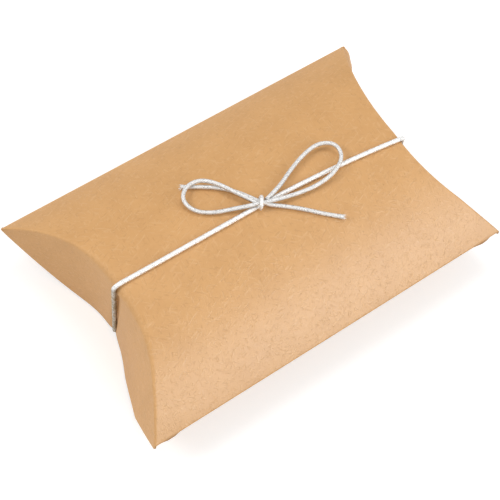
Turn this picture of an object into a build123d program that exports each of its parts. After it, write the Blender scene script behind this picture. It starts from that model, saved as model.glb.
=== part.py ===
from build123d import *
import os
from math import asin, cos, degrees, radians, sin, tan

# Pillow box of kraft board with a thin elastic cord tied lengthwise round it in a bow.
# X runs along the box, left end at -X. Y runs from the front fold to the back fold. Z is up.
# The origin is on the table, below the middle of the box. Sizes are in millimetres.

# Board box, measured over its outer faces
box_length = 90.0
box_width = 56.0
fold_height = 11.2
arch_rise = 10.5
board = 0.45

# Lower panel: seam facet at the front, flat belly with a groove for the cord, round back
seam_slope = 38.0
seam_knee_bend = 0.65
belly_front_flat = 2.9
belly_front_bend = 1.7
belly_back_flat = 4.6
groove_depth = 1.25
groove_width = 12.0
groove_floor = 6.0
groove_centre = -0.6
groove_bend = 0.6

# Glue seam along the front fold
glue_flap_width = 11.2
glue_flap_end = 5.0
glue_flap_taper = 8.0
glue_film = 0.10
seam_setback = 0.4

# End walls in plan: how far the wall stands in from the corners, at the crown and at the belly;
# the curves lie a margin above the top and half of it below the table
crown_side = 9.5
crown_side_depth = 6.5
left_crown_depth = 9.0
right_crown_depth = 10.2
belly_knee = 9.5
belly_knee_depth = 1.6
belly_side = 14.5
belly_side_depth = 7.5
belly_depth = 11.4

# End flaps
wall_margin = 2.0
crease_gap = 0.15
flap_edge_gap = 0.3
flap_tip_cut = 1.2
inner_flap_gap = 0.25
inner_flap_drop = 3.0
inner_flap_tip_cut = 7.0

# Elastic cord
cord = 1.0
cord_sides = 8
cord_standoff = 0.2
cord_bend = 1.0
cord_bend_run = 1.5
cord_arc_share = 0.45
table_gap = 0.02
left_tie_y = 0.9
right_tie_y = -2.1
knot_x = -0.4
knot_y = 0.7
knot_length = 2.6
knot_waist = 1.2
knot_radius = 1.45
knot_lift = 0.48
knot_end_radius = 0.95
knot_wrap_radius = 1.75
knot_wrap_lean = 12.0

# Bow: plan places and heights of the cord's middle above the top face of the board, from the knot
left_loop_route = (
    (-1.0, 1.7, 1.75), (-3.4, 5.6, 1.75), (-5.5, 9.6, 1.75), (-8.0, 12.1, 1.75), (-11.2, 12.2, 1.75),
    (-13.4, 9.7, 1.2), (-12.9, 6.5, 0.75), (-10.0, 4.1, 0.75), (-6.1, 2.8, 1.0), (-2.0, 1.4, 1.6),
)
right_loop_route = (
    (0.8, 1.5, 1.4), (4.2, 1.9, 1.3), (9.0, 3.9, 1.4), (14.0, 5.7, 1.9), (18.0, 5.9, 2.5),
    (20.9, 3.6, 2.7), (20.4, -0.1, 2.5), (16.6, -1.9, 1.6), (11.6, -2.2, 0.9), (6.2, -1.5, 1.0),
    (1.4, -0.4, 1.8),
)
left_tail_route = (
    (-1.1, 2.2, 0.7), (-3.2, 5.2, 0.7), (-5.6, 8.2, 0.7), (-8.4, 10.7, 0.7), (-11.6, 13.1, 0.7),
)
right_tail_route = (
    (0.2, -0.7, 0.8), (3.4, -2.7, 0.75), (6.8, -5.0, 0.7), (9.8, -7.7, 0.7), (12.8, -10.2, 0.7),
)

half_length = box_length / 2
half_width = box_width / 2
top = fold_height + arch_rise
cord_radius = cord / 2
cord_lift = cord_radius + cord_standoff
reach = 2 * box_length


# Cross-section, drawn in the YZ plane and extruded along X

arch_radius = (half_width**2 + arch_rise**2) / (2 * arch_rise)
arch_centre = top - arch_radius
arch_slope = degrees(asin(half_width / arch_radius))
groove_front = groove_centre - groove_width / 2
groove_back = groove_centre + groove_width / 2
belly_back = groove_back + belly_back_flat
back_radius = ((half_width - belly_back)**2 + fold_height**2) / (2 * fold_height)
back_slope = degrees(asin((half_width - belly_back) / back_radius))


def polar(angle):
    """Unit vector in the section, angle measured from +Y towards +Z."""
    return Vector(cos(radians(angle)), sin(radians(angle)))


front_fold = Vector(-half_width, fold_height)
back_fold = Vector(half_width, fold_height)
seam_along = polar(-seam_slope)
seam_out = polar(-90 - seam_slope)
seam_start = front_fold + seam_out * (glue_film + board)
seam_knee = seam_start + seam_along * (glue_flap_width + 2 * board)
front_mitre = polar((arch_slope - seam_slope) / 2)
back_mitre = polar(180 - (arch_slope - back_slope) / 2)


def arch_height(y):
    """Height of the top face of the upper panel above the table."""
    return arch_centre + (arch_radius**2 - y**2)**0.5


def bend_radius(before, corner, after, bend):
    """Radius of the arc that starts and ends at a distance bend from a corner."""
    turn = (corner - before).get_angle(after - corner)
    return bend / tan(radians(turn / 2))


def belly_line():
    """Outer line of the lower panel, from the seam to the back fold."""
    side = (groove_width - groove_floor) / 2
    corners = [
        seam_start,
        seam_knee,
        Vector(groove_front - belly_front_flat, 0),
        Vector(groove_front, 0),
        Vector(groove_front + side, groove_depth),
        Vector(groove_back - side, groove_depth),
        Vector(groove_back, 0),
        Vector(belly_back, 0),
    ]
    bends = [seam_knee_bend, belly_front_bend] + [groove_bend] * 4
    radii = [bend_radius(*corners[i:i + 3], bend) for i, bend in enumerate(bends)]
    bent = FilletPolyline(*corners, radius=radii)
    return bent + TangentArc((belly_back, 0), (back_fold.X, back_fold.Y), tangent=(1, 0))


def arch_line():
    """Outer line of the upper panel, from the back fold to the front fold."""
    return ThreePointArc((back_fold.X, back_fold.Y), (0, top), (front_fold.X, front_fold.Y))


def region(*points):
    """Filled outline through the given places of the section."""
    return make_face(Polyline(*[(p.X, p.Y) for p in points], close=True))


outline = make_face(
    belly_line() + arch_line() + Line((front_fold.X, front_fold.Y), (seam_start.X, seam_start.Y))
)
cavity = offset(outline, -board, kind=Kind.INTERSECTION)
above_folds = region(
    front_fold,
    front_fold + front_mitre * half_width / 2,
    back_fold + back_mitre * half_width / 2,
    back_fold,
    Vector(reach, reach),
    Vector(-reach, reach),
)
below_seam = region(
    seam_start + seam_along * seam_setback,
    seam_start + seam_along * seam_setback - seam_out * board,
    seam_start + seam_along * glue_flap_width - seam_out * board,
    back_fold + back_mitre * half_width / 2,
    back_fold,
    Vector(reach, -reach),
    Vector(-reach, -reach),
)


def along_box(section):
    """Section extruded over the whole length of the box."""
    return extrude(Plane.YZ * section, amount=half_length, both=True)


# End walls: ruled between a plan curve at the crown and one at the belly

crown_level = top + wall_margin
belly_level = -wall_margin / 2


def circle_depth(t, side, side_depth, depth):
    """Depth, at distance t from a corner, of the circle through the corner, the side and the middle."""
    a = (side**2 + side_depth**2, side, side_depth)
    b = (half_width**2 + depth**2, half_width, depth)
    det = 2 * (a[1] * b[2] - b[1] * a[2])
    ct = (a[0] * b[2] - b[0] * a[2]) / det
    cd = (a[1] * b[0] - b[1] * a[0]) / det
    return cd + (ct**2 + cd**2 - (t - ct)**2)**0.5


def crown_wall(y, depth):
    """Depth of the wall at crown level."""
    return circle_depth(half_width - abs(y), crown_side, crown_side_depth, depth)


def belly_wall(y):
    """Depth of the wall at belly level: round at the back, stiff and straight by the seam."""
    t = half_width - abs(y)
    if y > 0:
        return circle_depth(t, belly_side, belly_side_depth, belly_depth)
    if t < belly_knee:
        return belly_knee_depth * t / belly_knee
    share = (t - belly_knee) / (half_width - belly_knee)
    return belly_knee_depth + (belly_depth - belly_knee_depth) * share


def wall_x(y, z, depth):
    """Distance of the end wall's outer face from the middle of the box."""
    share = (z - belly_level) / (crown_level - belly_level)
    return half_length - belly_wall(y) - (crown_wall(y, depth) - belly_wall(y)) * share


def plan_curve(depth_at, inset, straight_front):
    """Edges of a left wall in plan, front corner to back corner, moved into the box by inset."""
    knee = -half_width + belly_knee
    places = [-half_width, (knee - half_width) / 2, knee, knee / 2, 0, half_width / 2, half_width]
    line = [Vector(depth_at(y) - half_length, y) for y in places]
    moved = []
    for i, point in enumerate(line):
        before = line[max(i - 1, 0)]
        after = line[min(i + 1, len(line) - 1)]
        run = (after - before).normalized()
        moved.append(point + Vector(run.Y, -run.X) * inset)
    ends = [(p.X, p.Y) for p in moved]
    edges = []
    for i in (0, 2, 4):
        if straight_front and i < 4:
            edges.append(Line(ends[i], ends[i + 2]))
        else:
            edges.append(ThreePointArc(ends[i], ends[i + 1], ends[i + 2]))
    return edges, ends[0], ends[-1]


def beyond_left(depth, inset):
    """Everything beyond the left end wall, whose face is moved into the box by inset."""
    sections = []
    for level, depth_at, straight in (
        (belly_level, belly_wall, True),
        (crown_level, lambda y: crown_wall(y, depth), False),
    ):
        edges, first, last = plan_curve(depth_at, inset, straight)
        frame = Polyline(
            last, (last[0], box_width), (-box_length, box_width), (-box_length, -box_width),
            (first[0], -box_width), first,
        )
        sections.append(Pos(0, 0, level) * make_face(edges + frame.edges()))
    return loft(sections, ruled=True)


def both_ends(make):
    """The same piece for the left and the right end, each with its own depth at the crown."""
    left = make(left_crown_depth)
    right = mirror(make(right_crown_depth), about=Plane.YZ)
    return left, right


def wall(depth, outer, inner):
    """Left end wall between two insets of its face."""
    return beyond_left(depth, inner) - beyond_left(depth, outer)


def between(y_limit):
    """Slab that keeps what lies within y_limit of the middle."""
    return Box(reach, 2 * y_limit, reach)


flap_room = outline & (Pos(0, flap_edge_gap) * outline)
inner_room = (Pos(0, inner_flap_gap) * cavity) & (Pos(0, -inner_flap_drop) * cavity)


def outer_flap(depth):
    """End flap of the upper panel, outside the other flap."""
    return wall(depth, 0, board) & along_box(flap_room) & between(half_width - flap_tip_cut)


def inner_flap(depth):
    """End flap of the lower panel, tucked in behind the outer one."""
    face = board + crease_gap
    room = along_box(inner_room) & between(half_width - inner_flap_tip_cut)
    return wall(depth, face, face + board) & room


def tube_panel(section):
    """Panel between the two end walls."""
    left, right = both_ends(lambda depth: beyond_left(depth, board + crease_gap))
    return along_box(section) - left - right


arch_band = Pos(0, arch_centre) * (Circle(arch_radius) - Circle(arch_radius - board))
upper_panel = tube_panel(arch_band & above_folds)
lower_panel = tube_panel((outline - cavity) & below_seam)
left_outer_flap, right_outer_flap = both_ends(outer_flap)
left_inner_flap, right_inner_flap = both_ends(inner_flap)


# Glue seam

def seam_strip(outer, inner, width):
    """Strip along the seam between two depths behind the fold line, with tapered ends."""
    strip = region(
        front_fold - seam_out * outer,
        front_fold - seam_out * outer + seam_along * width,
        front_fold - seam_out * inner + seam_along * width,
        front_fold - seam_out * inner,
    )
    fold_end = half_length - glue_flap_end
    y_free = front_fold.X + width * seam_along.X + board
    plan = Polyline(
        (-fold_end, -half_width - board), (fold_end, -half_width - board),
        (fold_end - glue_flap_taper, y_free), (glue_flap_taper - fold_end, y_free), close=True,
    )
    return along_box(strip), extrude(make_face(plan), amount=reach, both=True)


flap_strip, flap_plan = seam_strip(0, board, glue_flap_width)
glue_flap = (flap_strip & flap_plan) - along_box(above_folds)
film_strip, film_plan = seam_strip(-glue_film, 0, glue_flap_width)
film_edge = along_box(region(
    seam_start + seam_along * seam_setback,
    seam_start + seam_along * seam_setback - seam_out * reach,
    seam_start + seam_along * reach - seam_out * reach,
    seam_start + seam_along * reach,
))
seam_glue = film_strip & film_plan & film_edge


# Elastic cord

def cord_radii(points):
    """As large an arc at each corner of a route as its two runs allow."""
    radii = []
    for before, corner, after in zip(points, points[1:], points[2:]):
        run = min((corner - before).length, (after - corner).length)
        radii.append(bend_radius(before, corner, after, cord_arc_share * run))
    return radii


def along_cord(path):
    """Cord with a many-sided section along a path."""
    section = RegularPolygon(cord_radius, cord_sides)
    return sweep(Plane(origin=path @ 0, z_dir=path % 0) * section, path=path)


def cord_tube(name, points, radii):
    """Cord along straight runs joined by tangent arcs."""
    path = FilletPolyline(*points, radius=radii)
    tube = along_cord(path)
    ratio = tube.volume / (RegularPolygon(cord_radius, cord_sides).area * path.length)
    print(name, "length", round(path.length, 1), "volume ratio", round(ratio, 3),
          "radii", [round(r, 1) for r in radii])
    return tube


def bow_cord(name, route):
    """Cord of the bow, over the arched top."""
    points = [Vector(x, y, arch_height(y) + lift) for x, y, lift in route]
    return cord_tube(name, points, cord_radii(points))


def tie_corners(y, depth, side):
    """Top and bottom corners of the tied cord at one end."""
    high = top + cord_lift
    low = cord_radius + table_gap
    stand = cord_lift / cos(radians(seam_slope / 2))
    return (
        Vector(side * (wall_x(y, high, depth) + stand), y, high),
        Vector(side * (wall_x(y, low, depth) + stand), y, low),
    )


left_top, left_low = tie_corners(left_tie_y, left_crown_depth, -1)
right_top, right_low = tie_corners(right_tie_y, right_crown_depth, 1)
knot_middle = Vector(knot_x, knot_y, top + cord_lift)


def past_corner(corner, towards):
    """Place on the cord just past the bend at a corner."""
    return corner + (towards - corner).normalized() * cord_bend_run


def end_run(name, high, low, top_end, low_end):
    """Taut cord down one end wall, bent round the crease above and the flap's edge below."""
    points = [past_corner(high, top_end), high, low, past_corner(low, low_end)]
    return cord_tube(name, points, [cord_bend, cord_bend])


left_knot_end = knot_middle - Vector(knot_length / 2, 0, 0)
right_knot_end = knot_middle + Vector(knot_length / 2, 0, 0)
tie_top_left_run = along_cord(Line(left_knot_end, past_corner(left_top, left_knot_end)))
tie_top_right_run = along_cord(Line(right_knot_end, past_corner(right_top, right_knot_end)))
tie_left_end_run = end_run("tie_left_end_run", left_top, left_low, left_knot_end, right_low)
tie_right_end_run = end_run("tie_right_end_run", right_top, right_low, right_knot_end, left_low)
tie_bottom_run = along_cord(Line(past_corner(left_low, right_low), past_corner(right_low, left_low)))


def knot():
    """Bundle of the bow's strands with one strand wrapped over it."""
    half = knot_length / 2
    waist = knot_waist / 2
    bundle = revolve(make_face(Polyline(
        (-half, 0), (half, 0), (half, knot_end_radius), (waist, knot_radius),
        (-waist, knot_radius), (-half, knot_end_radius), close=True,
    )), axis=Axis.X)
    strand = Pos(0, knot_wrap_radius - cord_radius / 2) * RegularPolygon(cord_radius, cord_sides)
    wrap = Rot(0, 0, knot_wrap_lean) * revolve(strand, axis=Axis.X)
    lump = Pos(knot_x, knot_y, top + cord_lift + knot_lift) * (bundle + wrap)
    return lump - along_box(make_face(
        Polyline((-reach, -reach), (-reach, top + cord_standoff), (reach, top + cord_standoff),
                 (reach, -reach), close=True)
    ))


tie_knot = knot()
bow_left_loop = bow_cord("bow_left_loop", left_loop_route) - tie_knot
bow_right_loop = bow_cord("bow_right_loop", right_loop_route) - tie_knot
bow_left_tail = bow_cord("bow_left_tail", left_tail_route) - tie_knot
bow_right_tail = bow_cord("bow_right_tail", right_tail_route) - tie_knot


nodes = {
    "upper_panel": upper_panel,
    "lower_panel": lower_panel,
    "glue_flap": glue_flap,
    "seam_glue": seam_glue,
    "left_outer_flap": left_outer_flap,
    "right_outer_flap": right_outer_flap,
    "left_inner_flap": left_inner_flap,
    "right_inner_flap": right_inner_flap,
    "tie_top_left_run": tie_top_left_run,
    "tie_top_right_run": tie_top_right_run,
    "tie_left_end_run": tie_left_end_run,
    "tie_right_end_run": tie_right_end_run,
    "tie_bottom_run": tie_bottom_run,
    "tie_knot": tie_knot,
    "bow_left_loop": bow_left_loop,
    "bow_right_loop": bow_right_loop,
    "bow_left_tail": bow_left_tail,
    "bow_right_tail": bow_right_tail,
}
os.makedirs("parts", exist_ok=True)
for name, solid in nodes.items():
    export_step(solid, "parts/" + name + ".step")
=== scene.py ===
"""Kraft pillow box tied lengthwise with a silver elastic cord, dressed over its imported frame."""

import math

import bmesh
import bpy
import numpy as np
from bpy.props import FloatProperty, FloatVectorProperty, IntProperty, PointerProperty
from mathutils import Matrix, Vector


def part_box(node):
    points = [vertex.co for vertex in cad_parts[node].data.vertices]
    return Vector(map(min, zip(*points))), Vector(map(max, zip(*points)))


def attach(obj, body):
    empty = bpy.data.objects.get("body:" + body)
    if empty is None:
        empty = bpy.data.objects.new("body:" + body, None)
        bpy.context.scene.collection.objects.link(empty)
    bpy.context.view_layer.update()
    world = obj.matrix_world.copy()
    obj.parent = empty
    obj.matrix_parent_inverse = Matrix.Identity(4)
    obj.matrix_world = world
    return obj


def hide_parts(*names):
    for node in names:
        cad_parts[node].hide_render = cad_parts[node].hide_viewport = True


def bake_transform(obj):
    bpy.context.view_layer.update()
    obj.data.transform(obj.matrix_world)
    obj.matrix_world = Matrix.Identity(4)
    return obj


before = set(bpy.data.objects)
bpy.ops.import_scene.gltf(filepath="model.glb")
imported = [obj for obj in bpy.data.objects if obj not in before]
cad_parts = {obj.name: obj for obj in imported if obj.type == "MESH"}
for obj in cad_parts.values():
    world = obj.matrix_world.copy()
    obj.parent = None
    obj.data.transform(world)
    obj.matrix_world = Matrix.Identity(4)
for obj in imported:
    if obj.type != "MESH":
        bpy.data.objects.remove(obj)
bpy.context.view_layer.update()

bl_info = {
    "name": "Tied Pillow Box",
    "version": (1, 0, 0),
    "blender": (4, 5, 0),
    "location": "View3D > Sidebar > Pillow Box",
    "description": "Kraft board pillow box with a silver elastic tie and bow",
    "category": "Object",
}

# Sizes of the box, read from the frame where a node gives them, in metres

panel_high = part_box("upper_panel")[1]
half_length = 0.045
half_width = panel_high.y
top = panel_high.z
fold_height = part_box("lower_panel")[1].z
arch_rise = top - fold_height
arch_radius = (half_width**2 + arch_rise**2) / (2 * arch_rise)
arch_centre = top - arch_radius

# Lower panel: seam facet at the front, flat belly with a groove for the cord, round back

seam_slope = math.radians(38.0)
seam_stack = 0.00055
seam_setback = 0.0004
glue_flap_width = 0.0112
glue_flap_end = 0.005
glue_flap_taper = 0.008
glue_film = 0.0001
glue_film_share = 0.9
glue_margin = 0.0005
glue_waver = 0.0002
glue_waves = (40, 17)
glue_rows = 13
belly_front = -0.0095
belly_back = 0.010
groove_front = -0.0066
groove_back = 0.0054
groove_side = 0.003
groove_depth = 0.00125
knee_run = 0.0121

# End walls: depth in from the corners, at crown level and at belly level

crown_level = top + 0.002
belly_level = -0.001
crown_side = 0.0095
crown_side_depths = {-1: (0.0065, 0.0065), 1: (0.0071, 0.0065)}
crown_depths = {-1: 0.0090, 1: 0.0102}
belly_knee = 0.0095
belly_knee_depth = 0.0016
belly_side = 0.0145
belly_side_depth = 0.0075
belly_depth = 0.0114
tip_round = 0.0003
tip_run = 0.0004
tip_reach = {-1: (0.0001, 0.0003), 1: (0.0005, 0.0)}
tip_reach_run = 0.0025
seam_tuck = 0.0010
seam_tuck_run = 0.003
seam_spring = {-1: 0.00082, 1: 0.00095}
seam_spring_place = 0.0408
seam_spring_run = 0.0024
side_names = {-1: "left", 1: "right"}

# Flaps: swell, press of the cord, creases, rows of faces, and how pale the folds are

smooth_angle = math.radians(38)
flap_margin = 0.3
flap_edge_gap = 0.0003
flap_gap_height = 0.002
flap_swell = {-1: 0.0, 1: 0.0018}
flap_swell_place = 0.0234
flap_swell_run = 0.0040
flap_swell_rise = 0.7
flap_press = 0.0010
flap_press_run = 0.0008
flap_press_rise = 0.8
edge_swell = 0.0008
edge_swell_run = 0.004
knee_curve = 1.12
inner_inset = 0.0006
inner_inset_run = 0.0015
inner_drop = 0.0034
inner_half_width = 0.021
inner_corner = 0.004
inner_root = 0.0012
crease_lead = 0.0003
crease_at_tips = 0.0006
crease_at_tie = {-1: 0.0022, 1: 0.0009}
crease_run = 0.010
crease_share = 0.35
crease_lead_share = 0.15
crease_still = 0.0008
crease_rows = 9
outer_rows = 22
outer_paleness = 0.3
inner_rows = 16
inner_paleness = 1.0
fold_pale_reach = 1.3

# Bow routes, from the knot: place along and across the box, and lift above the top of the board

left_loop = (
    (-0.0017, 0.0011, 0.00175), (-0.0038, 0.0050, 0.00175), (-0.0057, 0.0094, 0.00175),
    (-0.0080, 0.0121, 0.00175), (-0.0114, 0.0122, 0.00175), (-0.0138, 0.0099, 0.00120),
    (-0.0132, 0.0064, 0.00075), (-0.0101, 0.0040, 0.00075), (-0.0063, 0.0026, 0.00100),
    (-0.0024, 0.0009, 0.00160),
)
right_tail = (
    (0.0005, -0.0003, 0.00080), (0.0035, -0.0025, 0.00075), (0.0067, -0.0051, 0.00070),
    (0.0097, -0.0079, 0.00070), (0.0128, -0.0102, 0.00070),
)
right_loop = (
    (0.0005, 0.0007, 0.00140), (0.0044, 0.0016, 0.00130), (0.0091, 0.0038, 0.00120),
    (0.0141, 0.0055, 0.00140), (0.0182, 0.0059, 0.00160), (0.0210, 0.0038, 0.00180),
    (0.0202, 0.0003, 0.00190), (0.0164, -0.0017, 0.00160), (0.0117, -0.0020, 0.00090),
    (0.0064, -0.0013, 0.00100), (0.0014, -0.0003, 0.00180),
)
left_tail = (
    (-0.0009, 0.0018, 0.00070), (-0.0030, 0.0055, 0.00070), (-0.0054, 0.0084, 0.00070),
    (-0.0083, 0.0108, 0.00070), (-0.0116, 0.0131, 0.00070),
)
knot_place = Vector((-0.0006, 0.0006, 0.0))
left_strand_lift = 0.0018
right_strand_lift = 0.0012
strand_flare = 0.22
thread_level = 0.75
spline_points = 16

# Knot: one wrap, leaning across the bow

knot_lean = math.radians(-39)
knot_degrees = range(-95, 220, 30)
knot_half_width = 0.00138
knot_half_height = 0.00120
knot_drift = 0.0003 / 290
knot_shift = (-0.0003, 0.0001)
knot_rest = 0.45
knot_flare = -0.5

# Frayed ends of the tails

fray_threads = 26
fray_root = 0.0002
fray_shortest = 0.0004
fray_longer = 0.0005
fray_least_spread = 0.1
fray_more_spread = 0.5
fray_lift = 0.0001
fray_radius = 0.00005
fray_map = 0.125
fray_map_step = 0.01
fray_map_lead = 0.11

# Tie: where it crosses the creases and the edges of the flaps, and how far it stands off in radii

tie_sides = {-1: 0.0009, 1: -0.0021}
tie_low_sides = {-1: 0.0002, 1: -0.0021}
tie_clear = {-1: 1.12, 1: 0.95}
tie_low_clear = 1.6
tie_floor_gap = 0.00002
tie_middles = {-1: (-0.018, 0.0007), 1: (0.018, 0.0001)}
tie_notch = 0.0011
tie_notch_run = 0.0008
tie_under_run = 0.0011
tie_low_run = 0.0012
# Painted shade on the tie's end runs: darker from just above the top of the board downwards, over a short run
tie_shade_start = top + 0.0003
tie_shade_run = 0.0015

# Stage: lamps with their place, width and power setting

white = (1.0, 1.0, 1.0, 1.0)
lamps = (
    ("front_lamp", (0.23, -0.40, 0.38), 0.40, "key_power"),
    ("fill_lamp", (-0.40, 0.20, 0.40), 0.22, "fill_power"),
    ("top_lamp", (0.12, 0.16, 0.55), 0.20, "top_power"),
    ("sheen_lamp", (0.25, -0.45, 0.36), 0.52, "sheen_power"),
)
floor_size = 6.0
floor_faces = 8
floor_mottle = 0.985
sensor_width = 36.0
nearest_seen = 0.01
farthest_seen = 20.0

# Options that many settings share

metres = {"unit": "LENGTH", "precision": 5}
rgba = {"subtype": "COLOR", "size": 4}


class BoardSettings(bpy.types.PropertyGroup):
    """Sizes and colours of the kraft board."""

    thickness: FloatProperty(
        name="Thickness", description="Thickness of the board", default=0.00045, **metres)
    fold_round: FloatProperty(
        name="Fold rounding", description="Length of the bend each side of a fold along the box",
        default=0.0006, **metres)
    crease_round: FloatProperty(
        name="Crease rounding", description="Length of the bend each side of an inner flap's crease",
        default=0.0011, **metres)
    rows: IntProperty(
        name="Rows", description="Rows of faces along the box", default=60)
    colour: FloatVectorProperty(
        name="Board", description="Colour of the kraft face", default=(0.725, 0.405, 0.168, 1.0), **rgba)
    dark: FloatVectorProperty(
        name="Dark fibres", description="Colour of the dark fibres and specks",
        default=(0.47, 0.235, 0.086, 1.0), **rgba)
    light: FloatVectorProperty(
        name="Light fibres", description="Colour of the pale fibres", default=(0.81, 0.51, 0.26, 1.0), **rgba)
    # The cut edge colour is darker than the face, partly as the edge's own tone and partly as painted shade
    # of the gap under the front fold
    edge: FloatVectorProperty(
        name="Cut edge", description="Colour of the cut edges", default=(0.43, 0.255, 0.12, 1.0), **rgba)


class CordSettings(bpy.types.PropertyGroup):
    """Sizes and colours of the elastic cord."""

    diameter: FloatProperty(
        name="Diameter", description="Thickness of the cord", default=0.00098, **metres)
    bow_diameter: FloatProperty(
        name="Bow diameter", description="Thickness of the cord in the bow", default=0.00088, **metres)
    lead: FloatProperty(
        name="Braid lead", description="Length in which a thread goes once round the cord",
        default=0.0042, **metres)
    threads: IntProperty(
        name="Threads", description="Threads of the braid in each direction", default=8)
    relief: FloatProperty(
        name="Relief", description="Height of the threads as a share of the radius", default=0.09)
    sides: IntProperty(
        name="Sides", description="Faces round the cord", default=40)
    step: FloatProperty(
        name="Step", description="Distance between rings of faces", default=0.00008, **metres)
    bright: FloatVectorProperty(
        name="Bright threads", description="Colour of the bright metallic threads",
        default=(0.88, 0.875, 0.86, 1.0), **rgba)
    dull: FloatVectorProperty(
        name="Dull threads", description="Colour of the dull metallic threads",
        default=(0.30, 0.295, 0.29, 1.0), **rgba)
    # Painted reflection of the board and painted shade: brown that is mixed into the cord on the tie's end
    # runs
    core: FloatVectorProperty(
        name="Core", description="Colour that shows between the threads where the cord is stretched",
        default=(0.35, 0.265, 0.12, 1.0), **rgba)


class StageSettings(bpy.types.PropertyGroup):
    """Camera, light and floor."""

    lens: FloatProperty(
        name="Lens", description="Focal length on a 36 mm sensor", default=106.0, unit="CAMERA")
    azimuth: FloatProperty(
        name="Azimuth", description="Direction of the camera round the box",
        default=math.radians(-52.71), subtype="ANGLE")
    elevation: FloatProperty(
        name="Elevation", description="Height of the camera above the horizon",
        default=math.radians(61.46), subtype="ANGLE")
    roll: FloatProperty(
        name="Roll", description="Turn of the camera about its line of sight",
        default=math.radians(18.84), subtype="ANGLE")
    distance: FloatProperty(
        name="Distance", description="Camera to target", default=0.3058, unit="LENGTH")
    target: FloatVectorProperty(
        name="Target", description="Place that the camera looks at", subtype="XYZ", unit="LENGTH",
        default=(-0.00394, -0.00295, 0.0112))
    key_power: FloatProperty(
        name="Front light", description="Power of the large lamp at the front", default=0.90, unit="POWER")
    fill_power: FloatProperty(
        name="Fill light", description="Power of the lamp at the back left", default=0.98, unit="POWER")
    top_power: FloatProperty(
        name="Top light", description="Power of the lamp overhead", default=0.52, unit="POWER")
    sheen_power: FloatProperty(
        name="Sheen", description="Power of the lamp that is seen in the sheen of the board alone",
        default=13.5, unit="POWER")
    sky: FloatProperty(
        name="Sky", description="Strength of the even light all round", default=0.53)
    floor: FloatVectorProperty(
        name="Floor", description="Colour of the floor", default=(0.74, 0.74, 0.74, 1.0), **rgba)
    floor_glow: FloatProperty(
        name="Floor glow", description="White added to the floor in the picture alone", default=0.48)


# Forms of the box

def arch_height(y):
    """Height of the top face of the board."""
    return arch_centre + np.sqrt(arch_radius**2 - np.asarray(y)**2)


def bell(distance, run):
    """1 at no distance, fading over a run."""
    return np.exp(-(distance / run)**2)


def circle_depth(t, side, side_depth, depth):
    """Depth, at distance t from a corner, of the circle through the corner, the side and the middle."""
    a = (side**2 + side_depth**2, side, side_depth)
    b = (half_width**2 + depth**2, half_width, depth)
    det = 2 * (a[1] * b[2] - b[1] * a[2])
    ct = (a[0] * b[2] - b[0] * a[2]) / det
    cd = (a[1] * b[0] - b[1] * a[0]) / det
    return cd + np.sqrt(ct**2 + cd**2 - (t - ct)**2)


def wall_x(y, z, side):
    """Distance of an end wall's outer face from the middle of the box."""
    y = np.asarray(y, float)
    t = np.clip(half_width - np.abs(y), 0, None)
    crowns = [circle_depth(t, crown_side, depth, crown_depths[side]) for depth in crown_side_depths[side]]
    crown = np.where(y < 0, *crowns)
    round_back = circle_depth(t, belly_side, belly_side_depth, belly_depth)
    past_knee = (belly_depth - belly_knee_depth) * (t - belly_knee) / (half_width - belly_knee)
    stiff_front = np.where(t < belly_knee, belly_knee_depth * t / belly_knee, belly_knee_depth + past_knee)
    belly = np.where(y > 0, round_back, stiff_front)
    share = (np.asarray(z) - belly_level) / (crown_level - belly_level)
    reach = np.where(y < 0, *tip_reach[side])
    tip = reach * np.exp(-t / tip_reach_run) - tip_round * np.exp(-t / tip_run)
    return half_length + tip - belly - (crown - belly) * share


def tucked(x):
    """Distance by which the seam's edge is tucked under the front fold, less past the glue flap's ends."""
    spring = np.where(x < 0, seam_spring[-1], seam_spring[1])
    return seam_tuck - spring * bell(np.abs(x) - seam_spring_place, seam_spring_run)


def seam_directions():
    """Directions across the seam: down along its slope, and out of the box."""
    along = np.array((math.cos(seam_slope), -math.sin(seam_slope)))
    out = np.array((-math.sin(seam_slope), -math.cos(seam_slope)))
    return along, out


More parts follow.
